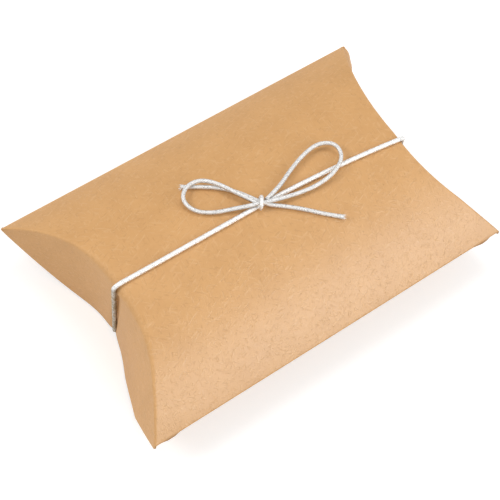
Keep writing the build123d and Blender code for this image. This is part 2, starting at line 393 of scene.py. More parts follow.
class Section:
    """Outer line of the folded sheet across the box, from the glue flap's edge round to the seam."""

    fine = 0.00005
    column = 0.0005
    fold_columns = (-1, -0.67, -0.33, 0.33, 0.67, 1)
    most_columns = 5
    slip = 1e-9

    def __init__(self, rounding):
        along, out = seam_directions()
        front_fold = np.array((-half_width, fold_height))
        seam_start = front_fold + out * seam_stack
        arch_half = math.asin(half_width / arch_radius)
        back_radius = ((half_width - belly_back)**2 + fold_height**2) / (2 * fold_height)
        back_half = math.asin((half_width - belly_back) / back_radius)
        corners = [
            (belly_back, 0), (groove_back, 0), (groove_back - groove_side, groove_depth),
            (groove_front + groove_side, groove_depth), (groove_front, 0), (belly_front, 0),
            seam_start + along * knee_run, seam_start + along * seam_setback,
        ]
        runs = [
            self.line(front_fold + along * glue_flap_width, front_fold),
            self.arc(arch_radius, 0, arch_centre, -arch_half, arch_half, 1),
            self.arc(back_radius, belly_back, back_radius, back_half, 0, -1),
        ]
        runs += [self.line(np.array(a), np.array(b)) for a, b in zip(corners, corners[1:])]
        self.path = np.vstack(runs + [np.array(corners[-1])[None]])
        steps = np.linalg.norm(np.diff(self.path, axis=0), axis=1)
        self.run = np.concatenate(((0,), np.cumsum(steps)))
        middles = (self.path[1:] + self.path[:-1]) / 2 * steps[:, None]
        self.sums = np.vstack((np.zeros(2), np.cumsum(middles, axis=0)))
        ends = np.cumsum([0] + [len(r) for r in runs])
        self.marks = self.run[ends]
        self.rounding = rounding
        self.places = self.columns()
        self.points = np.array([self.at(s) for s in self.places])

    def line(self, a, b):
        """Points from a to b, without b."""
        count = max(2, round(np.linalg.norm(b - a) / self.fine))
        return a + (b - a) * np.linspace(0, 1, count, endpoint=False)[:, None]

    def arc(self, radius, y, z, first, last, sense):
        """Points round a centre, angles from the vertical, without the last."""
        angles = np.linspace(first, last, round(abs(last - first) * radius / self.fine), endpoint=False)
        return np.stack((y + radius * np.sin(angles), z + sense * radius * np.cos(angles)), 1)

    def at(self, s):
        """Place at run s, averaged over the rounding each side, which bends the folds."""
        half = min(self.rounding, s, self.run[-1] - s)
        if half < self.fine:
            return np.array([np.interp(s, self.run, self.path[:, i]) for i in (0, 1)])
        ends = [[np.interp(p, self.run, self.sums[:, i]) for i in (0, 1)] for p in (s - half, s + half)]
        return (np.array(ends[1]) - np.array(ends[0])) / (2 * half)

    def columns(self):
        """Runs at which the sheet has a line of vertices: even, and closer together at the folds."""
        found = []
        for a, b in zip(self.marks, self.marks[1:]):
            found += list(np.linspace(a, b, max(2, math.ceil((b - a) / self.column)), endpoint=False))
        found.append(self.marks[-1])
        for mark in self.marks[1:-1]:
            found += [mark + self.rounding * share for share in self.fold_columns]
        kept = []
        for s in sorted(found):
            if not kept or s - kept[-1] > self.rounding / self.most_columns:
                kept.append(s)
        return np.array(kept)

    def part(self, first, last, margin=0.0):
        """Indices of the columns between two marks."""
        low, high = self.marks[first] + margin, self.marks[last] - margin
        return np.where((self.places >= low - self.slip) & (self.places <= high + self.slip))[0]

    def lower(self):
        """Indices of the columns of the lower panel."""
        return self.part(2, len(self.marks) - 1)

    def belly_height(self, y):
        """Height of the lower panel's outer face."""
        lower = self.points[self.lower()]
        return np.interp(y, lower[::-1, 0], lower[::-1, 1])


def flap_edge(section, y, side):
    """Height of an outer flap's free edge: notched over the cord, closing on the belly at the tips."""
    belly = np.where((y > groove_front) & (y < groove_back), 0, section.belly_height(y))
    notch = tie_notch * bell(y - tie_low_sides[side], tie_notch_run)
    return belly + notch + flap_edge_gap * np.clip((arch_height(y) - belly) / flap_gap_height, 0, 1)


def flap_edge_x(section, y, side):
    """Distance of an outer flap's free edge from the middle: full at the cord, straight to the front tip."""
    x = wall_x(y, flap_edge(section, y, side), side)
    x = x + edge_swell * bell(y - tie_low_sides[side], edge_swell_run)
    knee = np.array([belly_knee - half_width])
    depth = half_length - wall_x(knee, flap_edge(section, knee, side), side)
    t = np.clip(half_width - np.abs(y), 0, belly_knee)
    share = t / belly_knee
    return np.where(y < knee, half_length + tip_reach[side][0] * (1 - share) - depth * share**knee_curve, x)


def flap_height(section, y):
    """Height between the top and the belly, less the gap under an outer flap."""
    return np.clip(arch_height(y) - section.belly_height(y) - flap_edge_gap, 0, None)


def crease_bend(section, y, side):
    """Length of the bend at an outer flap's crease: fades from the tie, less where the flap is narrow."""
    soft = crease_at_tips + (crease_at_tie[side] - crease_at_tips) * bell(y, crease_run)
    return np.minimum(soft, crease_share * flap_height(section, y))


def crease_start(section, y, side):
    """Distance from the crease at which the flap's piece takes over from the sleeve."""
    lead = np.minimum(crease_lead, crease_lead_share * flap_height(section, y))
    return crease_bend(section, y, side) + lead


def crease_to_edge(side):
    """Two places: near the plane of an outer flap's crease, and as far from it as the flap's free edge."""
    crease = Vector((float(wall_x(0, top, side)), 0, top))
    corner = Vector((half_length, 0, fold_height))
    edge = Vector((float(wall_x(0, flap_edge_gap, side)), 0, flap_edge_gap))
    along = (corner - crease).normalized()
    across = Vector((along.z, 0, -along.x))
    if across.dot(edge - crease) < 0:
        across.negate()
    start = crease + across * crease_still
    end = start + across * (across.dot(edge - start))
    return [(side * p.x, p.y, p.z) for p in (start, end)]


# Modelling

def deselect_all():
    """Leaves no object selected."""
    if bpy.context.object and bpy.context.object.mode != "OBJECT":
        bpy.ops.object.mode_set(mode="OBJECT")
    bpy.ops.object.select_all(action="DESELECT")


def take(obj):
    """Makes obj the one selected, active object."""
    deselect_all()
    obj.select_set(True)
    bpy.context.view_layer.objects.active = obj


def coordinates(obj):
    """Vertex places of a mesh object as an array."""
    co = np.zeros(len(obj.data.vertices) * 3)
    obj.data.vertices.foreach_get("co", co)
    return co.reshape(-1, 3)


def place_vertices(obj, co):
    """Moves the vertices of a mesh object."""
    obj.data.vertices.foreach_set("co", np.asarray(co, np.float32).ravel())
    obj.data.update()


def mark(obj, name, values):
    """Gives each vertex a number that a material reads."""
    layer = obj.data.attributes.new(name, "FLOAT", "POINT")
    layer.data.foreach_set("value", np.asarray(values, np.float32))


def face_outwards(obj):
    """Turns the faces of an open sheet so that they look away from the middle of the box."""
    middle = Vector((0, 0, top / 2))
    if sum(p.normal.dot(p.center - middle) * p.area for p in obj.data.polygons) < 0:
        take(obj)
        bpy.ops.object.mode_set(mode="EDIT")
        bpy.ops.mesh.select_all(action="SELECT")
        bpy.ops.mesh.flip_normals()
        bpy.ops.object.mode_set(mode="OBJECT")


def thicken(obj, thickness):
    """Gives a sheet its thickness on the inner side, with the cut edge as second material."""
    take(obj)
    solidify = obj.modifiers.new("Board", "SOLIDIFY")
    solidify.thickness = thickness
    solidify.offset = -1
    solidify.use_even_offset = True
    solidify.material_offset_rim = 1
    bpy.ops.object.modifier_apply(modifier=solidify.name)
    bpy.ops.object.shade_smooth_by_angle(angle=smooth_angle)


def formed_grid(name, rows):
    """Flat grid moved on to rows of places, one row of vertices for each."""
    places = np.array(rows)
    deselect_all()
    bpy.ops.mesh.primitive_grid_add(
        x_subdivisions=places.shape[1] - 1, y_subdivisions=places.shape[0] - 1, size=half_length)
    obj = bpy.context.object
    obj.name = name
    obj.data.name = name
    place_vertices(obj, places.reshape(-1, 3))
    return obj


def made_of_board(obj, board):
    """Turns a sheet outwards and gives it its face, its cut edge and its thickness."""
    face_outwards(obj)
    obj.data.materials.clear()
    obj.data.materials.append(material(kraft_face, board))
    obj.data.materials.append(material(kraft_edge, board))
    bpy.data.collections["board_pieces"].objects.link(obj)
    thicken(obj, board.thickness)


def creased_flap(name, crease, edge, side, bend, lead, count, paleness, form=None):
    """Sheet with a rounded crease that goes on to a flap's free edge, straight or in a form added to it."""
    inwards = np.array((-side, 0, 0))
    fall = edge - crease
    fall /= np.linalg.norm(fall, axis=1)[:, None]
    before = crease + inwards * bend
    after = crease + fall * bend
    rows = [crease + inwards * lead]
    folds = [0.0]
    for t in np.linspace(0, 1, crease_rows):
        rows.append((1 - t)**2 * before + 2 * t * (1 - t) * crease + t**2 * after)
        folds.append(paleness - paleness * abs(2 * t - 1)**2)
    for t in np.linspace(0, 1, count)[1:]:
        flat = after + (edge - after) * t
        rows.append(form(flat, t) if form else flat)
        folds.append(0.0)
    obj = formed_grid(name, rows)
    mark(obj, "fold", np.repeat(folds, len(crease)))
    return obj


# Materials

class Look:
    """Nodes of a material or of the sky, with short ways to add to them."""

    fibre_turns = (0.35, 1.40, 2.45)
    fibre_depth = 0.0005
    fibre_blur = 0.10

    def __init__(self, tree):
        self.tree = tree
        tree.nodes.clear()

    def fill(self, socket, value):
        """Gives a socket a value, or a link from another socket."""
        if isinstance(value, bpy.types.NodeSocket):
            self.tree.links.new(value, socket)
        else:
            socket.default_value = value

    def add(self, kind, inputs=None, **options):
        """Adds a node, with its options and its inputs by name."""
        made = self.tree.nodes.new(kind)
        for key, value in options.items():
            setattr(made, key, value)
        for key, value in (inputs or {}).items():
            self.fill(made.inputs[key], value)
        return made

    def math(self, operation, *values):
        """Result of a sum on sockets or numbers."""
        return self.add("ShaderNodeMath", dict(enumerate(values)), operation=operation).outputs[0]

    def times(self, first, *others):
        """Product of sockets or numbers."""
        for other in others:
            first = self.math("MULTIPLY", first, other)
        return first

    def plus(self, first, second):
        """First and second together."""
        return self.math("ADD", first, second)

    def minus(self, first, second):
        """First less second."""
        return self.math("SUBTRACT", first, second)

    def ranged(self, value, low, high, to_low=0.0, to_high=1.0):
        """Smooth step of a value between two limits."""
        return self.add("ShaderNodeMapRange", {
            "Value": value, "From Min": low, "From Max": high, "To Min": to_low, "To Max": to_high,
        }, interpolation_type="SMOOTHSTEP").outputs["Result"]

    def mixed(self, factor, first, second):
        """Mix of two colours."""
        made = self.add("ShaderNodeMix", data_type="RGBA")
        self.fill(made.inputs["Factor"], factor)
        for key, value in (("A", first), ("B", second)):
            self.fill(next(s for s in made.inputs if s.name == key and s.type == "RGBA"), value)
        return next(s for s in made.outputs if s.type == "RGBA")

    def place(self):
        """Place on the piece."""
        return self.add("ShaderNodeTexCoord").outputs["Object"]

    def vertex(self, name):
        """Number that the vertices are marked with."""
        return self.add("ShaderNodeAttribute", attribute_name=name).outputs["Fac"]

    def noise(self, place, scale, detail=2.0, roughness=0.5, distortion=0.0):
        """Noise value at a scale in cells per metre."""
        return self.add("ShaderNodeTexNoise", {
            "Vector": place, "Scale": scale, "Detail": detail, "Roughness": roughness,
            "Distortion": distortion}).outputs["Fac"]

    def chance(self, x, y):
        """Number that differs from cell to cell."""
        cell = self.add("ShaderNodeCombineXYZ", {"X": x, "Y": y}).outputs["Vector"]
        return self.add("ShaderNodeTexWhiteNoise", {"Vector": cell}, noise_dimensions="3D").outputs["Value"]

    def fibres(self, place, offset, low, length, width):
        """Straight fibres, lying in three directions."""
        found = None
        for turn in self.fibre_turns:
            laid = self.add("ShaderNodeMapping", {
                "Vector": place, "Location": (offset, turn, 0.2), "Rotation": (0.0, 0.0, turn),
                "Scale": (length, width, self.fibre_depth)}, vector_type="TEXTURE").outputs["Vector"]
            lines = self.ranged(self.noise(laid, 1.0, 0.0), low, low + self.fibre_blur)
            found = lines if found is None else self.math("MAXIMUM", found, lines)
        return found

    def bump(self, height, strength, distance, **under):
        """Normal of a relief, on top of another relief if one is given as Normal."""
        return self.add("ShaderNodeBump", {
            "Height": height, "Strength": strength, "Distance": distance, **under}).outputs["Normal"]

    def seen(self):
        """1 for rays from the camera, or through glass or mirrors, and 0 for light."""
        rays = self.add("ShaderNodeLightPath").outputs
        seen = self.math("MAXIMUM", rays["Is Camera Ray"], rays["Is Glossy Ray"])
        return self.math("MAXIMUM", seen, rays["Is Transmission Ray"])

    def shade(self, inputs):
        """Surface of the material."""
        shader = self.add("ShaderNodeBsdfPrincipled", inputs)
        self.add("ShaderNodeOutputMaterial", {"Surface": shader.outputs["BSDF"]})


def material(maker, settings):
    """Material named after its maker, made when it is first asked for."""
    made = bpy.data.materials.get(maker.__name__)
    if not made:
        made = bpy.data.materials.new(maker.__name__)
        made.use_nodes = True
        maker(Look(made.node_tree), settings)
    return made


def kraft_face(look, board):
    """Uncoated kraft: mottled pulp, straight fibres, dark specks, paler along the folds."""
    place = look.place()
    cloudy = look.noise(place, 140.0, 3.0, 0.55)
    moved = look.add("ShaderNodeMapping", {"Vector": place, "Location": (0.3, 0.1, 0.2)})
    pulp = look.noise(moved.outputs["Vector"], 900.0, 4.0, 0.65)
    dark_lines = look.fibres(place, 0.13, 0.70, 0.0016, 0.00028)
    pale_lines = look.fibres(place, 0.71, 0.67, 0.0026, 0.00042)
    cells = look.add("ShaderNodeTexVoronoi", {"Vector": place, "Scale": 520.0}).outputs
    chosen = look.add("ShaderNodeSeparateColor", {"Color": cells["Color"]}).outputs["Red"]
    speck = look.times(look.ranged(cells["Distance"], 0.05, 0.13, 1.0, 0.0), look.ranged(chosen, 0.86, 0.89))
    colour = board.colour
    for share, other in (
            (look.ranged(cloudy, 0.25, 0.75, 0.0, 0.18), board.dark),
            (look.ranged(pulp, 0.40, 0.80, 0.0, 0.16), board.light),
            (look.times(pale_lines, 0.30), board.light),
            (look.times(dark_lines, 0.22), board.dark),
            (look.times(speck, 0.35), board.dark),
            (look.times(look.vertex("fold"), 0.22), board.light)):
        colour = look.mixed(share, colour, other)
    lines = look.plus(look.times(pale_lines, 0.5), look.times(dark_lines, -0.4))
    relief = look.plus(look.times(look.noise(place, 2600.0, 3.0, 0.6), 0.6), lines)
    fine = look.bump(relief, 0.75, 0.00006)
    look.shade({
        "Base Color": colour,
        "Roughness": look.ranged(pulp, 0.2, 0.8, 0.38, 0.48),
        "Specular IOR Level": 0.15,
        "Normal": look.bump(look.noise(place, 75.0, 1.0), 0.5, 0.0004, Normal=fine)})


def kraft_edge(look, board):
    """Cut edge of the board: darker than its face, partly its own tone and partly painted shade of the gap
    under the front fold, in thin layers.
    """
    place = look.place()
    layers = look.noise(place, 6000.0, 2.0, 0.7)
    patches = look.noise(place, 700.0, 2.0)
    colour = look.mixed(look.ranged(layers, 0.35, 0.70, 0.0, 0.6), board.edge, board.colour)
    look.shade({
        "Base Color": look.mixed(look.ranged(patches, 0.45, 0.75, 0.0, 0.35), colour, board.dark),
        "Roughness": 0.95,
        "Specular IOR Level": 0.15,
        "Normal": look.bump(layers, 0.6, 0.00006)})


def dried_glue(look, board):
    """Film of clear dried glue over the board, thicker in beads."""
    beads = look.noise(look.place(), 420.0, 3.0, 0.6, 0.4)
    look.shade({
        "Base Color": look.mixed(look.ranged(beads, 0.35, 0.7), board.colour, board.dark),
        "Roughness": look.ranged(beads, 0.3, 0.7, 0.28, 0.5),
        "Normal": look.bump(beads, 0.5, 0.0001)})


def silver_braid(look, cord):
    """Metallic braid over the elastic: bright on the top runs; darker on the bow strands as painted shade; on
    the tie's end runs darker in sparse dots as painted shade, and tinted brown as a painted reflection of the
    board.
    """
    uv = look.add("ShaderNodeUVMap", uv_map="Braid").outputs["UV"]
    round_and_along = look.add("ShaderNodeSeparateXYZ", {"Vector": uv}).outputs
    turn, lead = round_and_along["X"], round_and_along["Y"]
    threads = float(cord.threads)
    ways = look.times(look.plus(turn, lead), threads), look.times(look.minus(turn, lead), threads)
    cells = [look.math("FLOOR", way) for way in ways]
    crossing = look.plus(*cells)
    chance = look.chance(look.math("FLOORED_MODULO", crossing, 2 * threads), look.minus(*cells))
    glint, speckle = [
        look.chance(*[look.math("FLOOR", look.times(way, share)) for way in ways]) for share in (2.0, 0.5)]
    pillow = look.times(*[look.math("SINE", look.times(look.math("FRACT", way), math.pi)) for way in ways])
    over = look.math("FLOORED_MODULO", crossing, 2.0)
    across = look.plus(look.times(over, ways[0]), look.times(look.minus(1.0, over), ways[1]))
    filaments = look.math("SINE", look.times(across, 2 * math.pi * 3))
    # Marks of painted shade: the tie's end runs and the bow strands are drawn darker than the top runs
    taut, slack = look.vertex("taut"), look.vertex("slack")
    wear_and_bow_shade = look.ranged(look.noise(look.place(), 130.0, 1.0), 0.52, 0.72, 0.0, 0.12)
    # Painted shade: the bow strands get more dull specks on top of the worn zones
    wear_and_bow_shade = look.plus(wear_and_bow_shade, look.times(slack, 0.05))
    full = look.times(
        look.ranged(chance, 0.0, 0.25, 0.82, 1.0),
        look.ranged(look.minus(glint, wear_and_bow_shade), 0.0, 0.03, 0.60, 1.0),
        look.ranged(pillow, 0.0, 0.25, 0.84, 1.0),
        look.ranged(filaments, -1.0, 0.2, 0.90, 1.0),
        # Painted shade: the bow strands are drawn about a quarter darker
        look.ranged(slack, 0.0, 1.0, 1.0, 0.74))
    # Painted shade: on the tie's end runs the threads show only as sparse dots, at most half as bright
    sparse = look.times(look.ranged(speckle, 0.52, 0.66, 0.0, 0.50), look.ranged(pillow, 0.0, 0.3, 0.6, 1.0))
    lit = look.plus(look.times(full, look.minus(1.0, taut)), look.times(sparse, taut))
    # Painted reflection of the board: the end runs are tinted brown, most where their threads are dark
    board_reflection_share = look.times(taut, look.minus(0.62, look.times(lit, 0.6)))
    look.shade({
        "Base Color": look.mixed(board_reflection_share, look.mixed(lit, cord.dull, cord.bright), cord.core),
        "Metallic": 0.72,
        "Roughness": look.ranged(chance, 0.0, 1.0, 0.26, 0.46),
        "Normal": look.bump(look.plus(pillow, look.times(filaments, 0.16)), 0.5, 0.00006)})


def plain_floor(look, stage):
    """Pale floor that keeps the shadow and shows white in the picture."""
    shade = tuple(c * floor_mottle for c in stage.floor[:3]) + (1.0,)
    look.shade({
        "Base Color": look.mixed(look.noise(look.place(), 6.0, 2.0), stage.floor, shade),
        "Roughness": 0.9,
        "Emission Color": white,
        "Emission Strength": look.times(look.seen(), stage.floor_glow)})


# Cords

def spline_line(route):
    """Points along the NURBS line that has a route as its control points."""
    data = bpy.data.curves.new("route", "CURVE")
    data.dimensions = "3D"
    data.resolution_u = spline_points
    spline = data.splines.new("NURBS")
    spline.points.add(len(route) - 1)
    for point, place in zip(spline.points, route):
        point.co = (*place, 1.0)
    spline.order_u = 3
    spline.use_endpoint_u = True
    holder = bpy.data.objects.new("route", data)
    bpy.context.scene.collection.objects.link(holder)
    drawn = bpy.data.meshes.new_from_object(holder.evaluated_get(bpy.context.evaluated_depsgraph_get()))
    line = np.array([v.co for v in drawn.vertices], float)
    bpy.data.objects.remove(holder)
    bpy.data.curves.remove(data)
    bpy.data.meshes.remove(drawn)
    return line


def even_line(line, step):
    """The same line with points at even distances."""
    run = np.concatenate(((0,), np.cumsum(np.linalg.norm(np.diff(line, axis=0), axis=1))))
    count = max(2, round(run[-1] / step))
    places = np.linspace(0, run[-1], count + 1)
    return np.stack([np.interp(places, run, line[:, i]) for i in range(3)], 1), places


def carried_frames(line):
    """Two cross directions along a line, turning as little as they can."""
    tangents = np.gradient(line, axis=0)
    tangents /= np.linalg.norm(tangents, axis=1)[:, None]
    first = Vector((0, 0, 1)) if abs(tangents[0][2]) < 0.9 else Vector((0, 1, 0))
    across = Vector(tangents[0]).cross(first).normalized()
    sides = []
    for before, after in zip([tangents[0], *tangents[:-1]], tangents):
        across = Vector(before).rotation_difference(Vector(after)) @ across
        across = (across - Vector(after) * across.dot(Vector(after))).normalized()
        sides.append(across.copy())
    sides = np.array(sides)
    return sides, np.cross(tangents, sides)


def cord_piece(name, places, faces, smooth, uv, cord):
    """Piece of the cord, with the map of its braid."""
    mesh = bpy.data.meshes.new(name)
    mesh.from_pydata(places, [], faces)
    mesh.polygons.foreach_set("use_smooth", smooth)
    layer = mesh.uv_layers.new(name="Braid")
    layer.data.foreach_set("uv", np.asarray(uv, np.float32).ravel())
    mesh.update()
    obj = bpy.data.objects.new(name, mesh)
    bpy.context.scene.collection.objects.link(obj)
    mesh.materials.append(material(silver_braid, cord))
    return obj


def braided_tube(name, line, diameter, cord, flare=0.0):
    """Cord along a line with the relief of its braid, wider or narrower at its end."""
    points, run = even_line(line, cord.step)
    side, up = carried_frames(points)
    turn = np.arange(cord.sides) / cord.sides
    lead = run / cord.lead
    one_way = (turn[None] + lead[:, None]) * cord.threads
    other_way = (turn[None] - lead[:, None]) * cord.threads
    pillow = np.sqrt(np.abs(np.sin(np.pi * one_way) * np.sin(np.pi * other_way)))
    radius = diameter / 2 * (1 + cord.relief * (pillow - thread_level))
    radius *= 1 + flare * np.exp(-(run[-1] - run) / diameter)[:, None]
    angle = 2 * np.pi * turn
    ring = np.cos(angle)[None, :, None] * side[:, None] + np.sin(angle)[None, :, None] * up[:, None]
    places = points[:, None] + ring * radius[:, :, None]
    rings, sides = places.shape[:2]
    i, j = np.meshgrid(np.arange(rings - 1), np.arange(sides), indexing="ij")
    k = (j + 1) % sides
    ring_now, ring_next = i * sides, (i + 1) * sides
    quads = np.stack((ring_now + j, ring_now + k, ring_next + k, ring_next + j), -1).reshape(-1, 4)
    caps = [list(range(sides))[::-1], list(range((rings - 1) * sides, rings * sides))]
    around = np.stack((j, j + 1, j + 1, j), -1).reshape(-1) / sides
    lengthwise = np.stack((lead[i], lead[i], lead[i + 1], lead[i + 1]), -1).reshape(-1)
    cap_uv = [np.stack((turn, np.full(sides, lead[n])), -1) for n in (0, -1)]
    uv = np.concatenate((np.stack((around, lengthwise), -1), cap_uv[0][::-1], cap_uv[1]))
    smooth = [True] * len(quads) + [False] * len(caps)
    return cord_piece(name, places.reshape(-1, 3).tolist(), quads.tolist() + caps, smooth, uv, cord)


def over_board(x, y, lift):
    """Place above the top of the board."""
    return Vector((x, y, float(arch_height(y)) + lift))


def tie_corner(side, cord, high):
    """Corner of the tied cord at one end: above the crease, or below the flap's edge."""
    y = tie_sides[side] if high else tie_low_sides[side]
    radius = cord.diameter / 2
    z = float(arch_height(y)) + radius if high else radius + tie_floor_gap
    clear = tie_clear[side] if high else tie_low_clear
    return Vector((side * (float(wall_x(y, z, side)) + radius * clear), y, z))


def from_corner(corner, towards, distance):
    """Place on the run from a corner towards another place."""
    return corner + (towards - corner).normalized() * distance


# Operators

class PILLOWBOX_OT_stage(bpy.types.Operator):
    """Set the floor, the light and the camera"""

    bl_idname = "pillowbox.stage"
    bl_label = "Stage"

    def execute(self, context):
        stage = context.scene.pillow_stage
        self.floor(stage)
        self.lamps(stage)
        self.sky(context.scene, stage)
        self.camera(context.scene, stage)
        context.scene.view_settings.view_transform = "Standard"
        return {"FINISHED"}

    def floor(self, stage):
        """Wide plain floor under the box."""
        deselect_all()
        bpy.ops.mesh.primitive_grid_add(
            x_subdivisions=floor_faces, y_subdivisions=floor_faces, size=floor_size)
        obj = bpy.context.object
        obj.name = "floor"
        obj.data.materials.append(material(plain_floor, stage))

    def lamps(self, stage):
        """Round soft lamps: front right, back left and overhead, and one for the sheen of the board alone."""
        for name, place, size, power in lamps:
            lamp = bpy.data.lights.new(name, "AREA")
            lamp.shape = "DISK"
            lamp.size = size
            lamp.energy = getattr(stage, power)
            obj = bpy.data.objects.new(name, lamp)
            bpy.context.scene.collection.objects.link(obj)
            obj.location = place
            obj.rotation_euler = (Vector(stage.target) - obj.location).to_track_quat("-Z", "Y").to_euler()
            if name == "sheen_lamp":
                obj.visible_diffuse = False
                obj.light_linking.receiver_collection = bpy.data.collections.new("board_pieces")

    def sky(self, scene, stage):
        """Even light all round, white where the picture sees it."""
        world = bpy.data.worlds.new("studio")
        world.use_nodes = True
        look = Look(world.node_tree)
        light, backdrop = [
            look.add("ShaderNodeBackground", {"Color": white, "Strength": strength}).outputs["Background"]
            for strength in (stage.sky, 1.0)]
        either = look.add("ShaderNodeMixShader", {"Fac": look.seen(), 1: light, 2: backdrop})
        look.add("ShaderNodeOutputWorld", {"Surface": either.outputs["Shader"]})
        scene.world = world

    def camera(self, scene, stage):
        """Camera at the angle, distance and roll of the view."""
        a, e, r = stage.azimuth, stage.elevation, stage.roll
        back = Vector((math.sin(a) * math.cos(e), -math.cos(a) * math.cos(e), math.sin(e)))
        right = Vector((0, 0, 1)).cross(back).normalized()
        up = back.cross(right)
        turned_right = right * math.cos(r) + up * math.sin(r)
        turned_up = up * math.cos(r) - right * math.sin(r)
        data = bpy.data.cameras.new("camera")
        data.sensor_width = sensor_width
        data.lens = stage.lens
        data.clip_start = nearest_seen
        data.clip_end = farthest_seen
        obj = bpy.data.objects.new("camera", data)
        scene.collection.objects.link(obj)
        turn = Matrix((turned_right, turned_up, back)).transposed()
        obj.matrix_world = Matrix.Translation(Vector(stage.target) + back * stage.distance) @ turn.to_4x4()
        scene.camera = obj


class PILLOWBOX_OT_sleeve(bpy.types.Operator):
    """Fold the sleeve: glue flap, arched top and grooved belly, in one sheet"""

    bl_idname = "pillowbox.sleeve"
    bl_label = "Sleeve"

    def execute(self, context):
        board = context.scene.pillow_board
        section = Section(board.fold_round)
        obj = self.sheet(section, board)
        self.trim_ends(obj, section, board)
        made_of_board(obj, board)
        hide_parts("upper_panel", "lower_panel", "glue_flap")
        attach(obj, "box")
        return {"FINISHED"}

    def sheet(self, section, board):
        """Edge along the box, extruded from column to column of the section."""
        deselect_all()
        bpy.ops.mesh.primitive_grid_add(x_subdivisions=board.rows, y_subdivisions=1, size=2 * half_length)
        obj = bpy.context.object
        obj.name = "board_sleeve"
        obj.data.name = obj.name
        bpy.ops.object.mode_set(mode="EDIT")
        bpy.ops.mesh.select_mode(type="VERT")
        bpy.ops.mesh.select_all(action="DESELECT")
        mesh = bmesh.from_edit_mesh(obj.data)
        for vertex in mesh.verts:
            vertex.select = vertex.co.y > 0
        mesh.select_flush_mode()
        bmesh.update_edit_mesh(obj.data)
        bpy.ops.mesh.delete(type="VERT")
        bpy.ops.mesh.select_all(action="SELECT")
        first = section.points[0]
        bpy.ops.transform.translate(value=(0, first[0] + half_length, first[1]))
        for dy, dz in np.diff(section.points, axis=0):
            bpy.ops.mesh.extrude_region_move(TRANSFORM_OT_translate={"value": (0, dy, dz)})
        bpy.ops.mesh.select_all(action="SELECT")
        bpy.ops.mesh.normals_make_consistent(inside=False)
        bpy.ops.object.mode_set(mode="OBJECT")
        return obj

    def ends(self, section, board, side):
        """Distance from the middle at which each column of the sheet ends."""
        y, z = section.points.T
        glue = section.part(0, 1)
        lower = section.lower()
        end = wall_x(y, z, side) - crease_start(section, y, side)
        end[lower] = wall_x(y[lower], z[lower], side)
        end[lower] -= inner_inset * np.clip((fold_height - z[lower]) / inner_inset_run, 0, 1)
        end[lower] -= np.where(np.abs(y[lower]) < inner_half_width, board.crease_round + crease_lead, 0)
        off_fold = (section.marks[1] - section.places[glue]) / glue_flap_width
        notch = np.clip(off_fold * glue_flap_width / board.fold_round - 1, 0, 1)
        end[glue] = half_length - tip_round - (glue_flap_end + glue_flap_taper * off_fold) * notch
        return end

    def trim_ends(self, obj, section, board):
        """Draws every column of the sheet to the length that the end walls leave it."""
        co = coordinates(obj)
        gaps = ((co[:, None, 1:] - section.points[None])**2).sum(2)
        column = gaps.argmin(1)
        share = co[:, 0] / half_length
        lengths = {side: self.ends(section, board, side)[column] for side in side_names}
        co[:, 0] = share * np.where(share < 0, lengths[-1], lengths[1])
        co[:, 1:] = section.points[column]
        tuck = tucked(co[:, 0]) * np.exp((section.places - section.places[-1]) / seam_tuck_run)[column]
        co[:, 1] += tuck * math.cos(seam_slope)
        co[:, 2] -= tuck * math.sin(seam_slope)
        place_vertices(obj, co)
        folds = section.marks[[1, 2]]
        near = np.abs(section.places[:, None] - folds[None]).min(1) / board.fold_round
        mark(obj, "fold", np.clip(fold_pale_reach - near, 0, 1)[column])


class PILLOWBOX_OT_outer_flaps(bpy.types.Operator):
    """Turn the outer flap of each end down from the curved crease of the top"""

    bl_idname = "pillowbox.outer_flaps"
    bl_label = "Outer flaps"

    def execute(self, context):
        board = context.scene.pillow_board
        section = Section(board.fold_round)
        for side, name in side_names.items():
            self.flap(section, board, side, name + "_outer_flap")
        return {"FINISHED"}

    def flap(self, section, board, side, body):
        """One flap, swollen at the back and pressed in under the cord."""
        y, z = section.points[section.part(1, 2, board.fold_round * flap_margin)].T
        crease = np.stack((side * wall_x(y, z, side), y, z), 1)
        edge = np.stack((side * flap_edge_x(section, y, side), y, flap_edge(section, y, side)), 1)
        tie = (tie_sides[side] + tie_low_sides[side]) / 2
        outwards = np.array((side, 0, 0))
        swell = flap_swell[side] * np.exp(-((y - flap_swell_place) / flap_swell_run)**4)[:, None] * outwards
        press = flap_press * bell(y - tie, flap_press_run)[:, None] * outwards

        def form(flat, t):
            """Swell and press at a share of the way down."""
            swollen = flat + swell * math.sin(math.pi * t**flap_swell_rise)
            return swollen - press * math.sin(math.pi * t**flap_press_rise)**0.5

        bend = crease_bend(section, y, side)[:, None]
        lead = crease_start(section, y, side)[:, None]
        obj = creased_flap(body + "_board", crease, edge, side, bend, lead, outer_rows, outer_paleness, form)
        made_of_board(obj, board)
        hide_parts(body)
        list(crease_to_edge(side))
        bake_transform(obj)


class PILLOWBOX_OT_inner_flaps(bpy.types.Operator):
    """Turn the inner flap of each end up from the belly, behind the outer one"""

    bl_idname = "pillowbox.inner_flaps"
    bl_label = "Inner flaps"

    def execute(self, context):
        board = context.scene.pillow_board
        section = Section(board.fold_round)
        for side, name in side_names.items():
            self.flap(section, board, side, name + "_inner_flap")
        return {"FINISHED"}

    def flap(self, section, board, side, body):
        """One flap, with rounded upper corners."""
        lower = section.points[section.lower()]
        y, z = lower[np.abs(lower[:, 0]) < inner_half_width].T
        high = arch_height(y) - inner_drop - inner_corner * (np.abs(y) / inner_half_width)**6
        crease = np.stack((side * (wall_x(y, z, side) - inner_inset), y, z), 1)
        edge = np.stack((side * (wall_x(y, high, side) - inner_inset), y, high), 1)
        bend = board.crease_round
        obj = creased_flap(
            body + "_board", crease, edge, side, bend, bend + crease_lead, inner_rows, inner_paleness)
        made_of_board(obj, board)
        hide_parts(body)
        root = Vector((side * (float(wall_x(0, 0, side)) - inner_inset), 0, inner_root))
        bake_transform(obj)


